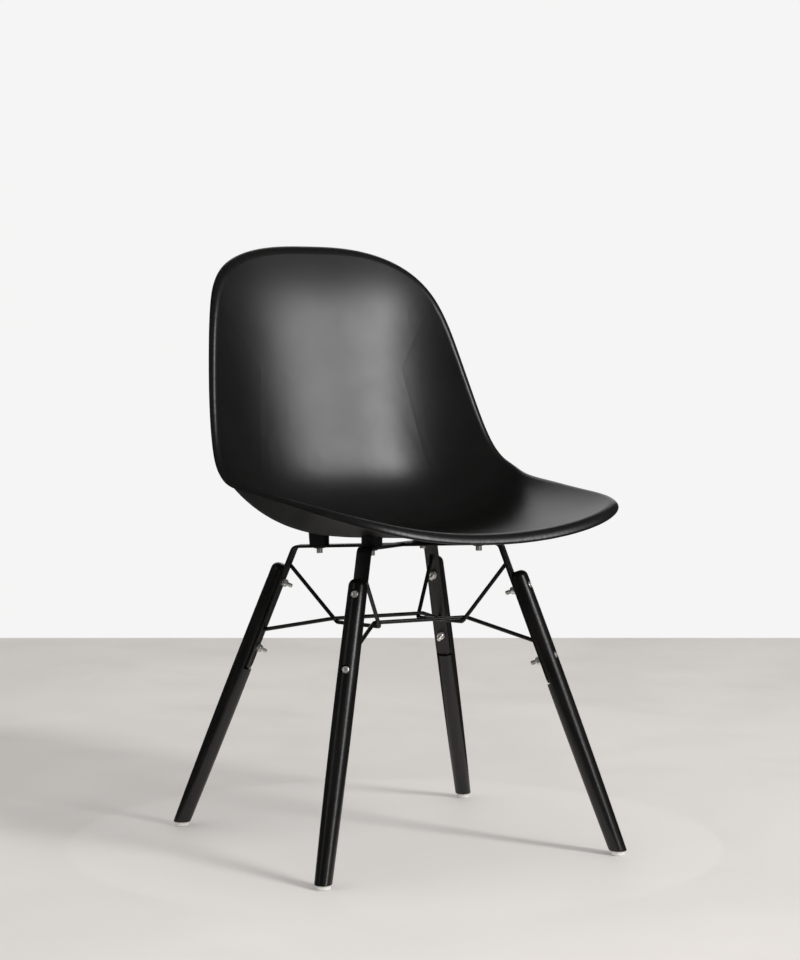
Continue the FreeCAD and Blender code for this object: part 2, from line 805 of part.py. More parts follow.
def rim_frame(angle):
    """The outline's point, outward direction and normal at a polar angle, and the rim's radius."""
    across, along = plan_outline(angle)
    point = shell_point(across, along)
    normal = shell_normal(across, along)
    tangent = shell_point(*plan_outline(angle + NUDGE)) - shell_point(*plan_outline(angle - NUDGE))
    outward = tangent.cross(normal).normalize()
    end_radius = TOP_RIM if along > 0 else FRONT_RIM
    radius = SIDE_RIM + (end_radius - SIDE_RIM) * abs(along) ** BLEND_POWER
    return point, outward, normal, radius


def rim_column(angle, depth):
    """Points over the rolled rim to the middle of its free edge, for a face this deep in the wall."""
    point, outward, normal, radius = rim_frame(angle)
    centre = point - normal * radius
    column = []
    for step in range(ROLL_STEPS + 1):
        turn = RIM_TURN * step / ROLL_STEPS
        column.append(centre + (outward * math.sin(turn) + normal * math.cos(turn)) * (radius - depth))
    radial = outward * math.sin(RIM_TURN) + normal * math.cos(RIM_TURN)
    onward = outward * math.cos(RIM_TURN) - normal * math.sin(RIM_TURN)
    lip = centre + radial * (radius - WALL / 2)
    side = 1 if depth == 0 else -1
    for step in range(1, LIP_STEPS + 1):
        turn = math.pi / 2 * step / LIP_STEPS
        column.append(lip + (radial * side * math.cos(turn) + onward * math.sin(turn)) * (WALL / 2))
    return column


def rim_spacing():
    """Parameters for a rim column, from the lengths of a side rim's runs."""
    marks = [0.0]
    for _ in range(ROLL_STEPS):
        marks.append(marks[-1] + SIDE_RIM * RIM_TURN / ROLL_STEPS)
    for _ in range(LIP_STEPS):
        marks.append(marks[-1] + WALL / 2 * math.pi / 2 / LIP_STEPS)
    return marks


def curve_through(points, marks):
    curve = Part.BSplineCurve()
    curve.interpolate(Points=points, Parameters=marks)
    return curve


def face_through(rows, row_marks, column_marks):
    """A smooth face through a grid of points; neighbours that share a border row match exactly."""
    along = [curve_through(row, column_marks) for row in rows]
    columns = list(zip(*[curve.getPoles() for curve in along]))
    across = [curve_through(list(column), row_marks) for column in columns]
    poles = [list(row) for row in zip(*[curve.getPoles() for curve in across])]
    surface = Part.BSplineSurface()
    surface.buildFromPolesMultsKnots(
        poles, across[0].getMultiplicities(), along[0].getMultiplicities(),
        across[0].getKnots(), along[0].getKnots(), False, False, 3, 3)
    return surface.toShape()


def skin_faces(depth):
    """The faces of one side of the shell, this deep in the wall, with its half of the rim."""
    def lifted(across, along):
        return shell_point(across, along) - shell_normal(across, along) * depth

    even = [index / SIDE_STEPS for index in range(SIDE_STEPS + 1)]
    outward = [index / BAND_STEPS for index in range(BAND_STEPS + 1)]
    core = [[lifted(*core_point(2 * u - 1, 2 * v - 1)) for u in even] for v in even]
    faces = [face_through(core, even, even)]
    for quarter in range(4):
        band = [[lifted(*band_point(quarter, share, out)) for share in even] for out in outward]
        faces.append(face_through(band, outward, even))
        columns = [rim_column(side_angle(quarter, share), depth) for share in even]
        rim = [list(row) for row in zip(*columns)]
        faces.append(face_through(rim, rim_spacing(), even))
    return faces


def closed_solid(faces):
    shell = Part.makeShell(faces)
    shell.sewShape(0.001)
    solid = Part.makeSolid(shell)
    if solid.Volume < 0:
        solid.reverse()
    return solid


def moulded_boss(corner, moulding):
    """A drafted boss from the strap up to the underside of the seat, bored for its insert."""
    frame = mount_frame(corner)
    height = 3 * size("insert_length")
    radius = size("boss_radius")
    top = radius + height * math.tan(math.radians(size("boss_draft_angle")))
    cone = Part.makeCone(radius, top, height)
    cone.Placement = frame
    boss = min(cone.cut(moulding).Solids, key=lambda solid: solid.CenterOfMass.z)
    bore = Part.makeCylinder(size("insert_radius"), size("insert_length"))
    bore.Placement = frame
    return boss.cut(bore)


def make_seat_shell():
    moulding = closed_solid(skin_faces(0.0) + skin_faces(WALL))
    shape = moulding.fuse([moulded_boss(corner, moulding) for corner in CORNERS])
    feature = doc.addObject("Part::Feature", "seat_shell")
    feature.Label = "seat_shell"
    feature.Shape = shape.Solids[0]
    feature.Placement = Placement()
    sub_parts.append(feature)


def check_document():
    """Stop if any object failed or any sub-part has no sound shape."""
    doc.recompute()
    for item in doc.Objects:
        if "Invalid" in item.State or "Error" in item.State:
            raise RuntimeError(f"{item.Label}: {item.State}")
    for part in sub_parts:
        if part.Shape.isNull() or not part.Shape.isValid():
            raise RuntimeError(f"{part.Label} has no sound shape")


def write_parts():
    os.makedirs("parts", exist_ok=True)
    for part in sub_parts:
        part.Shape.exportStep(f"parts/{part.Label}.step")


make_seat_shell()
make_long_strap()
make_half_strap("cross_strap_front", "front")
make_half_strap("cross_strap_rear", "rear")
make_rods()
for leg_corner in CORNERS:
    make_leg(leg_corner)
    make_leg_fasteners(leg_corner)
    make_mount_fasteners(leg_corner)
    make_glide(leg_corner)
    make_glide_nail(leg_corner)
check_document()
write_parts()
for part in sub_parts:
    print(part.Label, len(part.Shape.Solids), round(part.Shape.Volume, 1))
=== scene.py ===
import logging
import math
from dataclasses import dataclass, field
from enum import Enum
from typing import Callable, Sequence

import bmesh
import bpy
from mathutils import Matrix, Vector


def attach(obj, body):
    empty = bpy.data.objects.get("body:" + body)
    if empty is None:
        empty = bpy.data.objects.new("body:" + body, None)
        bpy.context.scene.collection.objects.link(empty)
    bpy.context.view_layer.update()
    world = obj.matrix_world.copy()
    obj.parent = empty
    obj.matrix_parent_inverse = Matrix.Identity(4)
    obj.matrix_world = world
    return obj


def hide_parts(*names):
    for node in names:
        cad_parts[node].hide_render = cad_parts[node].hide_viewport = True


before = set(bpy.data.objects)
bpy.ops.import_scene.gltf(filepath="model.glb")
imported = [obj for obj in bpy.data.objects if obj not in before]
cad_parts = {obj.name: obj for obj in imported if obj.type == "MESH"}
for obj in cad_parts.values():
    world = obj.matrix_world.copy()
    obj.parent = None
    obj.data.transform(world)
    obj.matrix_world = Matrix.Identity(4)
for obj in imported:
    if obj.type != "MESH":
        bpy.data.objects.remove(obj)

LOG = logging.getLogger("shell_chair")

Place = Sequence[float]
Rgb = tuple[float, float, float]


class Corner(Enum):
    """A corner of the chair, by the end of its node names."""

    FRONT_LEFT = "front_left"
    FRONT_RIGHT = "front_right"
    REAR_LEFT = "rear_left"
    REAR_RIGHT = "rear_right"

    @property
    def at_front(self) -> bool:
        """Whether the corner is at the front of the seat."""
        return self in (Corner.FRONT_LEFT, Corner.FRONT_RIGHT)

    @property
    def azimuth(self) -> float:
        """Direction of the corner from the crossing of the straps, in radians."""
        degrees = {Corner.FRONT_LEFT: -45, Corner.FRONT_RIGHT: -135, Corner.REAR_LEFT: 45, Corner.REAR_RIGHT: 135}
        return math.radians(degrees[self])


class BoltRow(Enum):
    """Which of a leg's two bolts is meant."""

    UPPER = "upper"
    LOWER = "lower"


class Slot(Enum):
    """The record's material slots for new pieces."""

    POWDER_COAT = "powder_coat"
    ZINC = "zinc"


@dataclass(frozen=True)
class Layout:
    """Where the legs, straps, rods and mounts are. Metres, and degrees for angles."""

    glide_height: float = 0.006
    front_lean: float = 20.83
    rear_lean: float = 22.42
    front_top_gap: float = 0.0424
    rear_top_gap: float = 0.0291
    flat_inset: float = 0.0063
    upper_bolt_drop: float = 0.023
    bolt_spacing: float = 0.1
    strap_width: float = 0.02
    strap_thickness: float = 0.004
    crossing_setback: float = 0.0106
    strap_height: float = 0.4099
    strap_slope: float = 2.4
    front_bend_reach: float = 0.1457
    rear_bend_reach: float = 0.1509
    mount_spread: float = 0.1142
    rod_radius: float = 0.00275
    front_side_rise: float = 0.0388
    rear_side_rise: float = 0.0279
    cross_rise: float = 0.0256

    def lean(self, corner: Corner) -> float:
        """Lean of a corner's leg from upright, in radians."""
        return math.radians(self.front_lean if corner.at_front else self.rear_lean)

    def bend_reach(self, corner: Corner) -> float:
        """How far from the crossing a corner's arm bends down."""
        return self.front_bend_reach if corner.at_front else self.rear_bend_reach

    def slope(self, corner: Corner) -> float:
        """Rise of the strap's top run towards a corner, as a gradient."""
        gradient = math.tan(math.radians(self.strap_slope))
        return gradient if corner.at_front else -gradient

    def bend_height(self, corner: Corner) -> float:
        """Height of an arm's bend above the foot of its leg."""
        return self.strap_height - self.glide_height + self.bend_reach(corner) * self.slope(corner)

    def foot_reach(self, corner: Corner) -> float:
        """How far a leg's foot stands from the crossing, along the diagonal."""
        lean = self.lean(corner)
        return self.bend_reach(corner) + self.flat_inset / math.cos(lean) + self.bend_height(corner) * math.tan(lean)

    def bolt_height(self, corner: Corner, row: BoltRow) -> float:
        """Where a leg bolt is along the leg's axis, from the foot."""
        gap = self.front_top_gap if corner.at_front else self.rear_top_gap
        upper = self.bend_height(corner) / math.cos(self.lean(corner)) - gap - self.upper_bolt_drop
        return upper if row is BoltRow.UPPER else upper - self.bolt_spacing

    def from_crossing(self, corner: Corner) -> Matrix:
        """On the floor under the crossing, X running out to a corner."""
        return Matrix.Translation((0, -self.crossing_setback, 0)) @ Matrix.Rotation(corner.azimuth, 4, "Z")

    def leg_frame(self, corner: Corner) -> Matrix:
        """Origin at a foot's centre, Z up the leg's axis and X outwards."""
        foot = Matrix.Translation((self.foot_reach(corner), 0, self.glide_height))
        return self.from_crossing(corner) @ foot @ Matrix.Rotation(-self.lean(corner), 4, "Y")

    def mount_frame(self, corner: Corner) -> Matrix:
        """Origin on the strap's top face at a shell mount, Z out of that face."""
        rise = Matrix.Rotation(-math.atan(self.slope(corner)), 4, "Y")
        run = Matrix.Translation((0, 0, self.strap_height)) @ rise
        return self.from_crossing(corner) @ run @ Matrix.Translation((self.mount_spread, 0, 0))


# Modelling


class Bench:
    """One new piece on the bench, shaped in edit mode with the modelling tools."""

    def __init__(self, name: str) -> None:
        """Clear the bench for a piece of this name."""
        self.name = name
        bpy.ops.object.select_all(action="DESELECT")

    def open(self) -> None:
        """Take the primitive just added as this piece, and open it in edit mode."""
        self.piece = bpy.context.object
        self.piece.name = self.name
        self.piece.data.name = self.name
        bpy.ops.object.transform_apply(location=True, rotation=True, scale=True)
        bpy.ops.object.mode_set(mode="EDIT")

    def circle(self, vertices: int, radius: float, height: float = 0.0, filled: bool = False) -> None:
        """Start from a circle about the Z axis, closed by a face if it is filled."""
        fill = "NGON" if filled else "NOTHING"
        bpy.ops.mesh.primitive_circle_add(vertices=vertices, radius=radius, fill_type=fill, location=(0, 0, height))
        self.open()

    def pick(self, test: Callable[[Vector], bool]) -> None:
        """Select the points whose places pass a test, and the edges and faces between them."""
        bpy.ops.mesh.select_mode(type="VERT")
        bpy.ops.mesh.select_all(action="DESELECT")
        mesh = bmesh.from_edit_mesh(self.piece.data)
        for point in mesh.verts:
            point.select_set(test(point.co))
        mesh.select_flush(True)
        bmesh.update_edit_mesh(self.piece.data)

    def pick_edges(self, test: Callable[[Vector, Vector], bool]) -> None:
        """Select the edges whose two ends pass a test."""
        bpy.ops.mesh.select_mode(type="EDGE")
        bpy.ops.mesh.select_all(action="DESELECT")
        mesh = bmesh.from_edit_mesh(self.piece.data)
        for edge in mesh.edges:
            edge.select_set(test(edge.verts[0].co, edge.verts[1].co))
        bmesh.update_edit_mesh(self.piece.data)

    def ring(self, radius: float, height: float, rounded: bool = False) -> None:
        """Extrude the selected rim to a new ring about the Z axis.

        Args:
            radius: Mean distance of the new ring from the axis.
            height: Its height.
            rounded: Whether the ring is first pulled to a circle.
        """
        bpy.ops.mesh.extrude_region_move(TRANSFORM_OT_translate={"value": (0, 0, 0)})
        if rounded:
            bpy.ops.transform.tosphere(value=1.0)
        mesh = bmesh.from_edit_mesh(self.piece.data)
        picked = [point.co.copy() for point in mesh.verts if point.select]
        reach = sum(math.hypot(place.x, place.y) for place in picked) / len(picked)
        level = sum(place.z for place in picked) / len(picked)
        bpy.ops.transform.resize(value=(radius / reach, radius / reach, 1), center_override=(0, 0, level))
        bpy.ops.transform.translate(value=(0, 0, height - level))

    def lathe(self, profile: Sequence[tuple[float, float]]) -> None:
        """Extrude the selected rim through a run of radii and heights."""
        for radius, height in profile:
            self.ring(radius, height)

    def finish(self, smooth: float = 35.0) -> bpy.types.Object:
        """Weld the mesh, turn its faces outwards, shade it and put it away.

        Args:
            smooth: Edges bent less than this many degrees are shaded smooth.

        Returns:
            The finished piece.
        """
        bpy.ops.mesh.select_all(action="SELECT")
        bpy.ops.mesh.remove_doubles(threshold=1e-6)
        bpy.ops.mesh.normals_make_consistent(inside=False)
        bpy.ops.object.mode_set(mode="OBJECT")
        bpy.ops.object.shade_smooth_by_angle(angle=math.radians(smooth))
        bpy.ops.object.select_all(action="DESELECT")
        return self.piece


def place_copies(pattern: bpy.types.Object, places: dict[str, Matrix]) -> list[bpy.types.Object]:
    """Copy a piece to its places, each copy with its own mesh, and clear the first away.

    Args:
        pattern: The piece, modelled about the origin.
        places: Where each copy goes, by its name.

    Returns:
        The copies.
    """
    copies = []
    for name, place in places.items():
        copy = pattern.copy()
        copy.data = pattern.data.copy()
        copy.name = name
        copy.data.name = name
        copy.data.transform(place)
        bpy.context.scene.collection.objects.link(copy)
        copies.append(copy)
    bpy.data.objects.remove(pattern)
    return copies


# Node groups that the finishes share


def add_node(tree: bpy.types.NodeTree, kind: str, inputs: dict[str | int, object] | None = None,
             **settings: object) -> bpy.types.Node:
    """Add a node to a tree.

    Args:
        tree: The material's or group's node tree.
        kind: The node's type.
        inputs: A value or another socket for each named or numbered input.
        **settings: The node's own properties.

    Returns:
        The new node.
    """
    node = tree.nodes.new(kind)
    for setting, value in settings.items():
        setattr(node, setting, value)
    for where, value in (inputs or {}).items():
        if isinstance(value, bpy.types.NodeSocket):
            tree.links.new(value, node.inputs[where])
        else:
            node.inputs[where].default_value = value
    return node


class Effect:
    """A shader node group, built once and placed in each material that uses it."""

    def __init__(self, name: str, inputs: dict[str, str], outputs: dict[str, str]) -> None:
        """Make an empty group with these inputs and outputs, each with its kind."""
        self.tree = bpy.data.node_groups.new(name, "ShaderNodeTree")
        for label, kind in inputs.items():
            self.tree.interface.new_socket(label, in_out="INPUT", socket_type=f"NodeSocket{kind}")
        for label, kind in outputs.items():
            self.tree.interface.new_socket(label, in_out="OUTPUT", socket_type=f"NodeSocket{kind}")
        self.given = self.tree.nodes.new("NodeGroupInput").outputs
        self.result = self.tree.nodes.new("NodeGroupOutput").inputs

    def add(self, kind: str, inputs: dict[str | int, object], **settings: object) -> bpy.types.Node:
        """Add a node to the group, with its inputs and settings."""
        return add_node(self.tree, kind, inputs, **settings)

    def give(self, label: str, source: bpy.types.NodeSocket) -> None:
        """Link a source to one of the group's outputs."""
        self.tree.links.new(source, self.result[label])


def fine_grain() -> bpy.types.NodeTree:
    """Moulded or sprayed grain: small rounded cells broken up by noise."""
    group = Effect("fine_grain", {"Vector": "Vector", "Scale": "Float"}, {"Height": "Float"})
    noise = group.add("ShaderNodeTexNoise", {"Vector": group.given["Vector"], "Scale": group.given["Scale"],
                                             "Detail": 3.0, "Roughness": 0.6})
    cells = group.add("ShaderNodeTexVoronoi", {"Vector": group.given["Vector"], "Scale": group.given["Scale"]},
                      feature="SMOOTH_F1")
    both = group.add("ShaderNodeMath", {0: noise.outputs["Fac"], 1: cells.outputs["Distance"]}, operation="ADD")
    group.give("Height", both.outputs[0])
    return group.tree


def patchy_gloss() -> bpy.types.NodeTree:
    """Roughness that drifts between two values over broad patches, with finer mottling."""
    group = Effect("patchy_gloss", {"Vector": "Vector", "Scale": "Float", "Low": "Float", "High": "Float"},
                   {"Roughness": "Float"})
    noise = group.add("ShaderNodeTexNoise", {"Vector": group.given["Vector"], "Scale": group.given["Scale"],
                                             "Detail": 6.0, "Roughness": 0.62, "Distortion": 0.4})
    spread = group.add("ShaderNodeMapRange", {"Value": noise.outputs["Fac"], "From Min": 0.32, "From Max": 0.68,
                                              "To Min": group.given["Low"], "To Max": group.given["High"]})
    group.give("Roughness", spread.outputs["Result"])
    return group.tree


def shade_drift() -> bpy.types.NodeTree:
    """A colour that drifts a little lighter and darker over the surface."""
    group = Effect("shade_drift", {"Vector": "Vector", "Scale": "Float", "Dark": "Color", "Light": "Color"},
                   {"Color": "Color"})
    noise = group.add("ShaderNodeTexNoise", {"Vector": group.given["Vector"], "Scale": group.given["Scale"],
                                             "Detail": 5.0, "Roughness": 0.55})
    mask = group.add("ShaderNodeMapRange", {"Value": noise.outputs["Fac"], "From Min": 0.3, "From Max": 0.7})
    mix = group.add("ShaderNodeMix", {0: mask.outputs["Result"], 6: group.given["Dark"], 7: group.given["Light"]},
                    data_type="RGBA")
    group.give("Color", mix.outputs[2])
    return group.tree


def settled_dust() -> bpy.types.NodeTree:
    """A thin veil of dust on the faces that look up."""
    group = Effect("settled_dust", {"Vector": "Vector", "Color": "Color", "Amount": "Float"}, {"Color": "Color"})
    facing = group.add("ShaderNodeNewGeometry", {})
    split = group.add("ShaderNodeSeparateXYZ", {0: facing.outputs["Normal"]})
    upward = group.add("ShaderNodeMapRange", {"Value": split.outputs["Z"], "From Min": 0.35, "From Max": 1.0})
    specks = group.add("ShaderNodeTexNoise", {"Vector": group.given["Vector"], "Scale": 420.0, "Detail": 8.0,
                                              "Roughness": 0.75})
    sparse = group.add("ShaderNodeMapRange", {"Value": specks.outputs["Fac"], "From Min": 0.48, "From Max": 0.72})
    veil = group.add("ShaderNodeMath", {0: upward.outputs["Result"], 1: sparse.outputs["Result"]},
                     operation="MULTIPLY")
    amount = group.add("ShaderNodeMath", {0: veil.outputs[0], 1: group.given["Amount"]}, operation="MULTIPLY")
    mix = group.add("ShaderNodeMix", {0: amount.outputs[0], 6: group.given["Color"], 7: (0.42, 0.4, 0.37, 1)},
                    data_type="RGBA")
    group.give("Color", mix.outputs[2])
    return group.tree


def lengthways_grain() -> bpy.types.NodeTree:
    """Wood grain along Z: long fibres with darker pores, for turned wood."""
    group = Effect("lengthways_grain", {"Vector": "Vector", "Dark": "Color", "Light": "Color"},
                   {"Color": "Color", "Height": "Float"})
    stretch = group.add("ShaderNodeMapping", {"Vector": group.given["Vector"], "Scale": (1.0, 1.0, 0.045)})
    fibres = group.add("ShaderNodeTexNoise", {"Vector": stretch.outputs["Vector"], "Scale": 620.0, "Detail": 7.0,
                                              "Roughness": 0.66, "Distortion": 0.25})
    rings = group.add("ShaderNodeTexWave", {"Vector": stretch.outputs["Vector"], "Scale": 75.0, "Distortion": 5.0,
                                            "Detail": 3.0, "Detail Scale": 1.6},
                      wave_type="RINGS", rings_direction="Y")
    pores = group.add("ShaderNodeMapRange", {"Value": fibres.outputs["Fac"], "From Min": 0.36, "From Max": 0.62})
    mask = group.add("ShaderNodeMath", {0: pores.outputs["Result"], 1: rings.outputs["Fac"]}, operation="MULTIPLY")
    mix = group.add("ShaderNodeMix", {0: mask.outputs[0], 6: group.given["Dark"], 7: group.given["Light"]},
                    data_type="RGBA")
    group.give("Color", mix.outputs[2])
    group.give("Height", pores.outputs["Result"])
    return group.tree


MAKERS: tuple[Callable[[], bpy.types.NodeTree], ...] = (
    fine_grain, patchy_gloss, shade_drift, settled_dust, lengthways_grain)


# Finishes


class Recipe:
    """A material under construction: its tree, shader and surface coordinates."""

    def __init__(self, name: str, **constants: object) -> None:
        """Start a material whose shader has these constants on its own sockets."""
        self.material = bpy.data.materials.new(name)
        self.material.use_nodes = True
        self.tree = self.material.node_tree
        self.shader = self.tree.nodes["Principled BSDF"]
        for socket, value in constants.items():
            self.shader.inputs[socket.replace("_", " ")].default_value = value
        self.coordinates = add_node(self.tree, "ShaderNodeTexCoord").outputs["Object"]

    def effect(self, name: str, **inputs: object) -> bpy.types.Node:
        """Place a shared group, reading this surface's coordinates unless it is given others."""
        shared = bpy.data.node_groups.get(name) or next(maker() for maker in MAKERS if maker.__name__ == name)
        node = add_node(self.tree, "ShaderNodeGroup", node_tree=shared)
        for socket, value in {"Vector": self.coordinates, **inputs}.items():
            if isinstance(value, bpy.types.NodeSocket):
                self.tree.links.new(value, node.inputs[socket])
            else:
                node.inputs[socket].default_value = value
        return node

    def tone(self, scale: float, dark: Rgb, light: Rgb, dust: float = 0.0) -> None:
        """Give the surface a colour that drifts between two, under some dust."""
        colour = self.effect("shade_drift", Scale=scale, Dark=(*dark, 1), Light=(*light, 1)).outputs["Color"]
        if dust:
            colour = self.effect("settled_dust", Color=colour, Amount=dust).outputs["Color"]
        self.feed("Base Color", colour)

    def gloss(self, scale: float, low: float, high: float) -> None:
        """Give the surface a roughness that drifts between two values."""
        self.feed("Roughness", self.effect("patchy_gloss", Scale=scale, Low=low, High=high).outputs["Roughness"])

    def grain(self, scale: float, strength: float, depth: float) -> None:
        """Raise a fine grain of this depth, in metres, on the surface."""
        self.bump(self.effect("fine_grain", Scale=scale).outputs["Height"], strength, depth)

    def feed(self, socket: str, source: bpy.types.NodeSocket) -> None:
        """Link a source to one of the shader's sockets."""
        self.tree.links.new(source, self.shader.inputs[socket])

    def bump(self, height: bpy.types.NodeSocket, strength: float, depth: float) -> None:
        """Raise the surface by a height that varies over it."""
        node = add_node(self.tree, "ShaderNodeBump", {"Height": height, "Strength": strength, "Distance": depth})
        self.feed("Normal", node.outputs["Normal"])


@dataclass(frozen=True)
class MouldedPlastic:
    """Through-coloured polypropylene with a fine spark-eroded grain."""

    name: str = "moulded_plastic"
    dark: Rgb = (0.0050, 0.0047, 0.0046)
    light: Rgb = (0.0070, 0.0066, 0.0064)
    gloss_low: float = 0.325
    gloss_high: float = 0.35
    grain_scale: float = 1300.0
    dust: float = 0.02

    def make(self) -> bpy.types.Material:
        """Build the material."""
        recipe = Recipe(self.name, IOR=1.49)
        recipe.tone(11.0, self.dark, self.light, self.dust)
        recipe.gloss(16.0, self.gloss_low, self.gloss_high)
        recipe.grain(self.grain_scale, 0.25, 0.00006)
        return recipe.material


@dataclass(frozen=True)
class PowderCoat:
    """Baked black powder with the slight orange peel of a thin coat."""

    name: str = "powder_coat"
    dark: Rgb = (0.0040, 0.0038, 0.0036)
    light: Rgb = (0.0065, 0.0062, 0.0060)
    peel_scale: float = 480.0

    def make(self) -> bpy.types.Material:
        """Build the material."""
        recipe = Recipe(self.name, IOR=1.5)
        recipe.tone(60.0, self.dark, self.light, 0.02)
        recipe.gloss(45.0, 0.3, 0.42)
        recipe.grain(self.peel_scale, 0.35, 0.00012)
        return recipe.material


@dataclass(frozen=True)
class StainedWood:
    """Turned beech under black stain and a satin lacquer, its grain along one leg."""

    name: str
    leg: Matrix
    dark: Rgb = (0.0030, 0.0027, 0.0025)
    light: Rgb = (0.0085, 0.0074, 0.0066)

    def make(self) -> bpy.types.Material:
        """Build the material."""
        recipe = Recipe(self.name, IOR=1.5)
        inward = self.leg.inverted()
        along = add_node(recipe.tree, "ShaderNodeMapping",
                         {"Vector": recipe.coordinates, "Location": inward.to_translation(),
                          "Rotation": inward.to_euler("XYZ")}).outputs["Vector"]
        grain = recipe.effect("lengthways_grain", Vector=along, Dark=(*self.dark, 1), Light=(*self.light, 1))
        recipe.feed("Base Color", grain.outputs["Color"])
        gloss = recipe.effect("patchy_gloss", Vector=along, Scale=30.0, Low=0.27, High=0.31)
        recipe.feed("Roughness", gloss.outputs["Roughness"])
        recipe.bump(grain.outputs["Height"], 0.06, 0.00004)
        return recipe.material


@dataclass(frozen=True)
class PlatedMetal:
    """Plated or turned metal with a slightly uneven lustre."""

    name: str
    dark: Rgb
    light: Rgb
    gloss_low: float = 0.3
    gloss_high: float = 0.42
    tone_scale: float = 180.0

    def make(self) -> bpy.types.Material:
        """Build the material."""
        recipe = Recipe(self.name, Metallic=0.8)
        recipe.tone(self.tone_scale, self.dark, self.light)
        recipe.gloss(self.tone_scale, self.gloss_low, self.gloss_high)
        recipe.grain(2600.0, 0.12, 0.00003)
        return recipe.material


@dataclass(frozen=True)
class MilkyPlastic:
    """Translucent nylon, cloudy inside."""

    name: str = "milky_plastic"
    dark: Rgb = (0.60, 0.59, 0.56)
    light: Rgb = (0.78, 0.77, 0.74)

    def make(self) -> bpy.types.Material:
        """Build the material."""
        recipe = Recipe(self.name, IOR=1.53, Subsurface_Weight=0.35, Subsurface_Scale=0.004)
        recipe.tone(240.0, self.dark, self.light)
        recipe.gloss(150.0, 0.28, 0.45)
        recipe.grain(1800.0, 0.15, 0.00004)
        return recipe.material


# Sub-assemblies


@dataclass
class SubAssembly:
    """Pieces that are made and dressed together."""

    layout: Layout
    made: list[bpy.types.Object] = field(default_factory=list, init=False)

    def keep(self, node: str, material: bpy.types.Material) -> None:
        """Dress a CAD node that stays as it is."""
        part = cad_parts[node]
        for slot in part.material_slots:
            slot.link = "OBJECT"
            slot.material = material
        if not part.material_slots:
            part.data.materials.append(material)
        LOG.info("dressed %s in %s", node, material.name)

    def add(self, piece: bpy.types.Object, material: bpy.types.Material, slot: Slot, *stands_for: str) -> None:
        """Dress a new piece and tie it to the frame.

        Args:
            piece: The finished piece.
            material: What it is made of.
            slot: The record's slot for that; not used.
            *stands_for: The CAD nodes that it replaces.
        """
        piece.data.materials.clear()
        piece.data.materials.append(material)
        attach(piece, "root")
        if stands_for:
            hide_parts(*stands_for)
        self.made.append(piece)
        LOG.info("made %s, %d faces", piece.name, len(piece.data.polygons))


@dataclass
class SeatShell(SubAssembly):
    """The moulded seat and back in one, with its rolled rim and four bosses."""

    finish: MouldedPlastic = MouldedPlastic()

    def build(self) -> None:
        """Dress the moulding."""
        self.keep("seat_shell", self.finish.make())


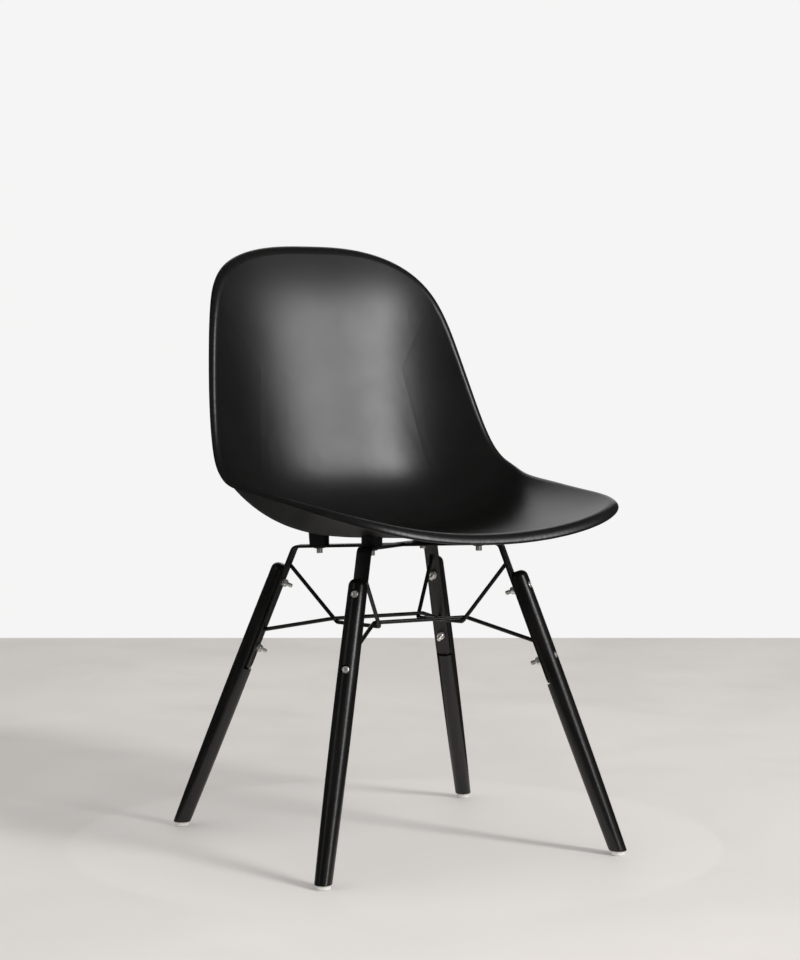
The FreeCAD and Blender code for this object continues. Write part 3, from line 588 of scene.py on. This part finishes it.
@dataclass
class StrapBase(SubAssembly):
    """The crossed flat straps with softened edges, the rods that brace them and their welds."""

    bend_radius: float = 0.009
    bend_steps: int = 14
    tail: float = 0.033
    tail_radius: float = 0.0065
    edge_radius: float = 0.0007
    bead_radius: float = 0.0011
    bead_gap: float = 0.0003
    bead_lumps: float = 0.00028
    bead_spread: Place = (1.12, 1.0, 0.8)
    finish: PowderCoat = PowderCoat()

    def arm(self, corner: Corner) -> list[Vector]:
        """Middle line of a corner's arm in the corner's own frame: its lower end, then its bend."""
        layout = self.layout
        lean = layout.lean(corner)
        up = Vector((-math.sin(lean), 0, math.cos(lean)))
        inset = layout.flat_inset + layout.strap_thickness / 2
        foot = Vector((layout.foot_reach(corner), 0, layout.glide_height))
        start = foot - Vector((math.cos(lean), 0, math.sin(lean))) * inset
        tip = start + up * (layout.bolt_height(corner, BoltRow.LOWER) - self.tail)
        middle = layout.strap_height - layout.strap_thickness / 2 / math.cos(math.radians(layout.strap_slope))
        rise = layout.slope(corner)
        along = (middle + rise * start.x - start.z) / (up.z - rise * up.x)
        return [tip, start + up * along]

    def bar(self, name: str, line: Sequence[Vector]) -> bpy.types.Object:
        """Model a flat bar along a line in the XZ plane, bent at each inner point.

        Args:
            name: The piece's name.
            line: The ends and bends of its middle line.

        Returns:
            The bar, with softened edges and rounded tails.
        """
        layout = self.layout
        first = (line[1] - line[0]).normalized()
        bench = Bench(name)
        bpy.ops.mesh.primitive_plane_add(size=1, location=line[0], rotation=(0, math.atan2(first.x, first.z), 0))
        bpy.context.object.scale = (layout.strap_thickness, layout.strap_width, 1)
        bench.open()
        bpy.ops.mesh.select_all(action="SELECT")
        here = line[0]
        for before, bend, after in zip(line, line[1:], line[2:]):
            come, leave = (bend - before).normalized(), (after - bend).normalized()
            turn = come.angle(leave)
            reach = self.bend_radius * math.tan(turn / 2)
            bpy.ops.mesh.extrude_region_move(TRANSFORM_OT_translate={"value": bend - come * reach - here})
            centre = bend - come * reach + (leave - come * come.dot(leave)).normalized() * self.bend_radius
            bpy.ops.mesh.spin(steps=self.bend_steps, angle=-turn, center=centre, axis=come.cross(leave).normalized())
            here = bend + leave * reach
        bpy.ops.mesh.extrude_region_move(TRANSFORM_OT_translate={"value": line[-1] - here})
        bpy.ops.mesh.select_all(action="SELECT")
        bpy.ops.mesh.normals_make_consistent(inside=False)
        tails = [end for end in (line[0], line[-1]) if end.z < layout.strap_height - 0.1]
        half = layout.strap_width / 2
        near = half + 0.003
        bench.pick_edges(lambda one, other: abs(one.y) > half - 1e-5 and (one.y > 0) == (other.y > 0)
                         and any((one - end).length < near and (other - end).length < near for end in tails))
        bpy.ops.mesh.bevel(offset=self.tail_radius, segments=8)
        bpy.ops.mesh.select_all(action="DESELECT")
        bpy.ops.mesh.edges_select_sharp(sharpness=math.radians(40))
        bpy.ops.mesh.bevel(offset=self.edge_radius, segments=3)
        return bench.finish()

    def model_bead(self, seed: int) -> bpy.types.Object:
        """Model a lumpy bead of weld round a rod's end, about the origin, with the lumps of one seed."""
        bench = Bench("weld_bead")
        bpy.ops.mesh.primitive_torus_add(
            major_radius=self.layout.rod_radius + self.bead_gap, minor_radius=self.bead_radius,
            major_segments=28, minor_segments=10)
        bench.open()
        bpy.ops.mesh.select_all(action="SELECT")
        bpy.ops.transform.resize(value=self.bead_spread, center_override=(0, 0, 0))
        bpy.ops.transform.vertex_random(offset=self.bead_lumps, seed=seed)
        bpy.ops.mesh.vertices_smooth(factor=0.5, repeat=1)
        return bench.finish(60)

    def weld(self, coat: bpy.types.Material) -> None:
        """Lay the beads where the rods meet the straps."""
        layout = self.layout
        for number, corner in enumerate(Corner):
            side_rise = layout.front_side_rise if corner.at_front else layout.rear_side_rise
            joints = {"side": layout.bolt_height(corner, BoltRow.UPPER) + side_rise,
                      "cross": layout.bolt_height(corner, BoltRow.LOWER) + layout.cross_rise}
            for kind, height in joints.items():
                face = Matrix.Translation((-layout.flat_inset - layout.strap_thickness - self.bead_gap, 0, height))
                place = layout.leg_frame(corner) @ face @ Matrix.Rotation(-math.pi / 2, 4, "Y")
                bead = self.model_bead(number * 2 + (kind == "side"))
                self.add(place_copies(bead, {f"weld_bead_{corner.value}_{kind}": place})[0], coat, Slot.POWDER_COAT)

    def build(self) -> None:
        """Model the straps, lay the welds and dress everything."""
        coat = self.finish.make()
        half = self.layout.strap_width / 2
        flip = Matrix.Scale(-1, 4, (1, 0, 0))
        front, rear = self.arm(Corner.FRONT_LEFT), self.arm(Corner.REAR_RIGHT)
        line = [*front, *(flip @ point for point in reversed(rear))]
        plans = {"cross_strap_long": (Corner.FRONT_LEFT, line)}
        for name, corner in (("cross_strap_front", Corner.FRONT_RIGHT), ("cross_strap_rear", Corner.REAR_LEFT)):
            tip, bend = self.arm(corner)
            inner = bend + Vector((half - bend.x, 0, (half - bend.x) * self.layout.slope(corner)))
            plans[name] = (corner, [tip, bend, inner])
        for name, (corner, points) in plans.items():
            strap = place_copies(self.bar(name, points), {f"{name}_softened": self.layout.from_crossing(corner)})[0]
            self.add(strap, coat, Slot.POWDER_COAT, name)
        for side in ("left", "right", "front", "rear"):
            self.keep(f"brace_rod_{side}", coat)
        self.weld(coat)


@dataclass
class TurnedLegs(SubAssembly):
    """The four turned legs with their glides and nails."""

    def build(self) -> None:
        """Dress each leg with grain along its own axis."""
        glide = MilkyPlastic().make()
        nail = PlatedMetal("nail_steel", (0.42, 0.41, 0.40), (0.55, 0.54, 0.53), 0.3, 0.45).make()
        for corner in Corner:
            wood = StainedWood(f"stained_wood_{corner.value}", self.layout.leg_frame(corner))
            self.keep(f"leg_{corner.value}", wood.make())
            self.keep(f"glide_{corner.value}", glide)
            self.keep(f"glide_nail_{corner.value}", nail)


@dataclass
class Fasteners(SubAssembly):
    """Leg bolts and nuts, and the screws, washers and inserts of the shell mounts."""

    bolt_seat: float = 0.0088
    head_radius: float = 0.0055
    head_height: float = 0.0033
    head_flank: float = 0.0008
    dome_start: float = 0.0031
    dome_rings: int = 6
    head_edge: float = 0.0003
    shank_radius: float = 0.003
    socket_width: float = 0.004
    socket_depth: float = 0.0019
    nut_width: float = 0.010
    nut_height: float = 0.0065
    nut_chamfer: float = 0.0009
    nut_corner_cuts: tuple[tuple[float, float], ...] = ((0.98, 0.0006), (0.93, 0.0002))
    nut_mouth: float = 0.0004
    stub: float = 0.008
    thread_pitch: float = 0.001
    thread_depth: float = 0.00045
    washer_thickness: float = 0.0012
    screw_head_radius: float = 0.0043
    screw_head_height: float = 0.007
    screw_socket_depth: float = 0.0035
    screw_grip: float = 0.010
    finish: PlatedMetal = PlatedMetal("zinc_plate", (0.66, 0.64, 0.60), (0.84, 0.82, 0.79))

    def hex_socket(self, bench: Bench, top: float, depth: float) -> None:
        """Start a head from the floor of its hexagon socket, up to a round ring at the top."""
        corner_radius = self.socket_width / 2 / math.cos(math.pi / 6)
        bench.circle(6, corner_radius, top - depth, filled=True)
        bpy.ops.mesh.select_all(action="SELECT")
        bpy.ops.mesh.subdivide(number_cuts=3)
        bpy.ops.mesh.select_all(action="SELECT")
        bpy.ops.mesh.region_to_loop()
        bpy.ops.mesh.extrude_region_move(TRANSFORM_OT_translate={"value": (0, 0, depth - 0.0002)})
        bench.ring(corner_radius * 0.94 + 0.0002, top)
        bench.ring(corner_radius * 0.94 + 0.0005, top)

    def thread(self, start: float, finish: float) -> list[tuple[float, float]]:
        """Radii and heights down a thread, from the head's side to the free end."""
        rows = []
        height = start
        while height - self.thread_pitch > finish + 0.0006:
            rows.append((self.shank_radius, height))
            rows.append((self.shank_radius - self.thread_depth, height - self.thread_pitch / 2))
            height -= self.thread_pitch
        return [*rows, (self.shank_radius, height), (self.shank_radius - 0.0007, finish)]

    def model_bolt(self) -> bpy.types.Object:
        """Model a button head bolt about the origin, its head on Z = 0 and its shank down."""
        bench = Bench("leg_bolt")
        self.hex_socket(bench, self.head_height, self.socket_depth)
        inner = self.dome_start
        bench.ring(inner, self.head_height, rounded=True)
        for step in range(1, self.dome_rings + 1):
            turn = math.radians(90 / self.dome_rings * step)
            bench.ring(inner + (self.head_radius - inner) * math.sin(turn),
                       self.head_flank + (self.head_height - self.head_flank) * math.cos(turn))
        grip = self.bolt_seat + self.layout.flat_inset + self.layout.strap_thickness
        edge = self.head_edge
        bench.lathe([(self.head_radius, edge), (self.head_radius - edge, 0), (self.shank_radius, 0),
                     (self.shank_radius, -grip)])
        bench.lathe(self.thread(-grip - 0.0005, -grip - self.nut_height - self.stub))
        bpy.ops.mesh.edge_face_add()
        return bench.finish()

    def model_nut(self) -> bpy.types.Object:
        """Model a hexagon nut about the origin, standing on Z = 0, with chamfered corners."""
        bench = Bench("leg_nut")
        corner_radius = self.nut_width / 2 / math.cos(math.pi / 6)
        edge = self.nut_chamfer
        bench.circle(6, corner_radius, edge)
        bpy.ops.mesh.select_all(action="SELECT")
        bpy.ops.mesh.subdivide(number_cuts=3)
        bpy.ops.mesh.select_all(action="SELECT")
        bpy.ops.mesh.extrude_region_move(TRANSFORM_OT_translate={"value": (0, 0, self.nut_height - 2 * edge)})
        for level, face, way in ((edge, 0.0, -1), (self.nut_height - edge, self.nut_height, 1)):
            for share, drop in self.nut_corner_cuts:
                bench.pick(lambda place: abs(place.z - level) < 0.00061
                           and math.hypot(place.x, place.y) > corner_radius * share)
                bpy.ops.transform.translate(value=(0, 0, -way * drop))
            bench.pick_edges(lambda one, other: abs(one.z - level) < edge and abs(other.z - level) < edge)
            bench.ring(self.nut_width / 2 - 0.0003, face)
            bpy.ops.transform.resize(value=(1, 1, 0), center_override=(0, 0, face))
            bpy.ops.transform.tosphere(value=1.0)
            bench.ring(self.shank_radius + self.nut_mouth, face)
            bench.ring(self.shank_radius - 0.0002, face - way * 0.0006)
        return bench.finish()

    def model_screw(self) -> bpy.types.Object:
        """Model a cap screw about the origin, its head hanging below Z = 0 and its shank up."""
        bench = Bench("mount_screw")
        self.hex_socket(bench, self.screw_head_height, self.screw_socket_depth)
        wide, tall = self.screw_head_radius, self.screw_head_height
        bench.ring(wide - 0.0008, tall, rounded=True)
        flank = [(wide - (0.00018 if step % 2 else 0), tall - 0.0009 - 0.0006 * step) for step in range(9)]
        grip = self.washer_thickness + self.layout.strap_thickness
        bench.lathe([(wide - 0.0002, tall - 0.0004), *flank, (wide, 0.0004), (wide - 0.0004, 0),
                     (self.shank_radius, 0), (self.shank_radius, -grip)])
        bench.lathe(self.thread(-grip - 0.0004, -grip - self.screw_grip))
        bpy.ops.mesh.edge_face_add()
        bpy.ops.mesh.select_all(action="SELECT")
        bpy.ops.transform.resize(value=(1, 1, -1), center_override=(0, 0, 0))
        return bench.finish()

    def build(self) -> None:
        """Model each kind once, set it at its places and dress it."""
        zinc = self.finish.make()
        layout = self.layout
        bolts, nuts, screws = {}, {}, {}
        for corner in Corner:
            leg = layout.leg_frame(corner)
            for row in BoltRow:
                height = layout.bolt_height(corner, row)
                seat = Matrix.Translation((self.bolt_seat, 0, height)) @ Matrix.Rotation(math.pi / 2, 4, "Y")
                bolts[f"leg_bolt_{corner.value}_{row.value}"] = leg @ seat @ Matrix.Rotation(0.4 + height * 3, 4, "Z")
                inner = Matrix.Translation((-layout.flat_inset - layout.strap_thickness, 0, height))
                spun = Matrix.Rotation(-math.pi / 2, 4, "Y") @ Matrix.Rotation(0.3 + height * 5, 4, "Z")
                nuts[f"leg_nut_{corner.value}_{row.value}"] = leg @ inner @ spun
            under = Matrix.Translation((0, 0, -layout.strap_thickness - self.washer_thickness))
            screws[f"mount_screw_{corner.value}"] = layout.mount_frame(corner) @ under
        for pattern, places in ((self.model_bolt(), bolts), (self.model_nut(), nuts), (self.model_screw(), screws)):
            for piece in place_copies(pattern, {f"{name}_detailed": place for name, place in places.items()}):
                self.add(piece, zinc, Slot.ZINC, piece.name.removesuffix("_detailed"))
        washer = PowderCoat("black_washer", (0.010, 0.010, 0.010), (0.016, 0.016, 0.016)).make()
        brass = PlatedMetal("turned_brass", (0.50, 0.36, 0.15), (0.66, 0.50, 0.24), 0.25, 0.4).make()
        for corner in Corner:
            self.keep(f"mount_washer_{corner.value}", washer)
            self.keep(f"thread_insert_{corner.value}", brass)


# The studio


@dataclass(frozen=True)
class Lamp:
    """A soft rectangular lamp, aimed at the chair. Metres, degrees and watts."""

    name: str
    azimuth: float  # from the front towards the sitter's left
    elevation: float
    distance: float
    size: tuple[float, float]
    power: float
    colour: Rgb = (1, 1, 1)
    aim: tuple[float, float, float] = (0, 0, 0.5)

    def hang(self) -> None:
        """Set the lamp in its place."""
        turn, rise = math.radians(self.azimuth), math.radians(self.elevation)
        away = Vector((math.sin(turn) * math.cos(rise), -math.cos(turn) * math.cos(rise), math.sin(rise)))
        data = bpy.data.lights.new(self.name, "AREA")
        data.shape = "RECTANGLE"
        data.size, data.size_y = self.size
        data.energy = self.power
        data.color = self.colour
        lamp = bpy.data.objects.new(self.name, data)
        lamp.location = Vector(self.aim) + away * self.distance
        lamp.rotation_euler = away.to_track_quat("Z", "Y").to_euler()
        bpy.context.scene.collection.objects.link(lamp)


@dataclass
class Studio:
    """A pale floor, a pale background, soft lamps and the camera."""

    camera_place: Place = (-1.47181, -2.86416, 0.68571)
    camera_azimuth: float = -27.33
    camera_elevation: float = 3.38
    lens: float = 88.435
    floor_colour: Rgb = (0.69, 0.66, 0.63)
    background: Rgb = (0.913, 0.913, 0.911)
    floor_reach: float = 5.42
    screen_radius: float = 4.6
    screen_height: float = 3.6
    open_floor: float = 0.45
    surroundings: float = 0.9
    lamps: tuple[Lamp, ...] = (
        Lamp("key_softbox", 24, 32, 4.2, (0.65, 2.3), 112, (1, 0.985, 0.99)),
        Lamp("low_strip", 14, 11, 4.2, (0.5, 0.7), 12, aim=(0, 0, 0.2)),
        Lamp("side_strip", -84, 22, 3.2, (0.5, 1.6), 2))

    def outlook(self) -> Vector:
        """The camera's level heading."""
        turn = math.radians(self.camera_azimuth)
        return Vector((-math.sin(turn), math.cos(turn), 0))

    def add_camera(self) -> None:
        """Set the camera where the photograph was taken from."""
        data = bpy.data.cameras.new("photo_camera")
        data.lens = self.lens
        data.sensor_width = 36
        camera = bpy.data.objects.new("photo_camera", data)
        camera.location = self.camera_place
        camera.rotation_euler = (math.radians(90 - self.camera_elevation), 0, math.radians(self.camera_azimuth))
        bpy.context.scene.collection.objects.link(camera)
        bpy.context.scene.camera = camera

    def add_floor(self) -> None:
        """Lay a floor that ends in a level line behind the chair."""
        ahead = self.outlook()
        middle = Vector(self.camera_place) + ahead * (self.floor_reach - 5)
        bpy.ops.object.select_all(action="DESELECT")
        bpy.ops.mesh.primitive_plane_add(size=10, location=(middle.x, middle.y, 0),
                                         rotation=(0, 0, math.radians(self.camera_azimuth)))
        floor = bpy.context.object
        floor.name = "pale_floor"
        recipe = Recipe("pale_floor")
        recipe.tone(1.6, tuple(value * 0.97 for value in self.floor_colour),
                    tuple(value * 1.03 for value in self.floor_colour))
        recipe.gloss(3.0, 0.55, 0.75)
        floor.data.materials.append(recipe.material)

    def add_background(self, light: float) -> None:
        """Pale surroundings, seen as they are by the camera and in reflections.

        Args:
            light: How strongly they light the object.
        """
        world = bpy.data.worlds.new("pale_room")
        world.use_nodes = True
        bpy.context.scene.world = world
        tree = world.node_tree
        shader = tree.nodes["Background"]
        shader.inputs["Color"].default_value = (*self.background, 1)
        path = add_node(tree, "ShaderNodeLightPath").outputs
        seen = add_node(tree, "ShaderNodeMath", {0: path["Is Camera Ray"], 1: path["Is Glossy Ray"]},
                        operation="MAXIMUM")
        through = add_node(tree, "ShaderNodeMath", {0: seen.outputs[0], 1: path["Is Transmission Ray"]},
                           operation="MAXIMUM")
        level = add_node(tree, "ShaderNodeMapRange", {"Value": through.outputs[0], "To Min": light, "To Max": 1.0})
        tree.links.new(level.outputs["Result"], shader.inputs["Strength"])

    def add_screen(self) -> None:
        """Stand a dark screen round the room and lay it round the chair, which only reflections see: painted shade, a
        dim room painted into the reflections.
        """
        bpy.ops.object.select_all(action="DESELECT")
        bpy.ops.mesh.primitive_cylinder_add(vertices=96, radius=self.screen_radius, depth=self.screen_height,
                                            end_fill_type="TRIFAN", location=(0, 0, self.screen_height / 2 + 0.004))
        screen = bpy.context.object
        screen.name = "reflected_shade_screen"
        bpy.ops.object.transform_apply(location=True)
        ahead = self.outlook()
        bpy.ops.object.mode_set(mode="EDIT")
        bpy.ops.mesh.select_mode(type="FACE")
        bpy.ops.mesh.select_all(action="DESELECT")
        mesh = bmesh.from_edit_mesh(screen.data)
        for face in mesh.faces:
            middle = face.calc_center_median()
            behind = middle.to_2d().dot(ahead.to_2d()) > 0.93 * self.screen_radius and abs(face.normal.z) < 0.5
            face.select_set(behind)
        bmesh.update_edit_mesh(screen.data)
        bpy.ops.mesh.delete(type="FACE")
        # The part laid on the floor round the chair darkens the floor's reflections beyond open_floor with painted
        # shade.
        mesh = bmesh.from_edit_mesh(screen.data)
        for face in mesh.faces:
            face.select_set(face.calc_center_median().z < 0.01)
        bmesh.update_edit_mesh(screen.data)
        bpy.ops.mesh.inset(thickness=self.screen_radius - self.open_floor)
        bpy.ops.mesh.delete(type="FACE")
        bpy.ops.object.mode_set(mode="OBJECT")
        screen.visible_camera = False
        screen.visible_diffuse = False
        screen.visible_shadow = False
        # Painted shade: this dark colour stands for a dim, unlit room as the reflections see it.
        recipe = Recipe("reflected_shade_screen")
        recipe.tone(0.4, (0.03, 0.03, 0.03), (0.05, 0.05, 0.05))
        recipe.gloss(3.0, 0.8, 0.95)
        screen.data.materials.append(recipe.material)

    def build(self) -> None:
        """Set up the room, the lamps and the camera."""
        self.add_camera()
        self.add_floor()
        self.add_background(self.surroundings)
        self.add_screen()
        for lamp in self.lamps:
            lamp.hang()
        bpy.context.scene.view_settings.view_transform = "Standard"


def main() -> None:
    """Build the chair's pieces in order, light them and report each one."""
    logging.basicConfig(level=logging.INFO, format="%(name)s: %(message)s")
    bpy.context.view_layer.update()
    layout = Layout()
    for assembly in (SeatShell(layout), StrapBase(layout), TurnedLegs(layout), Fasteners(layout)):
        assembly.build()
        LOG.info("%s: %d new pieces", type(assembly).__name__, len(assembly.made))
    Studio().build()


if __name__ == "__main__":
    main()
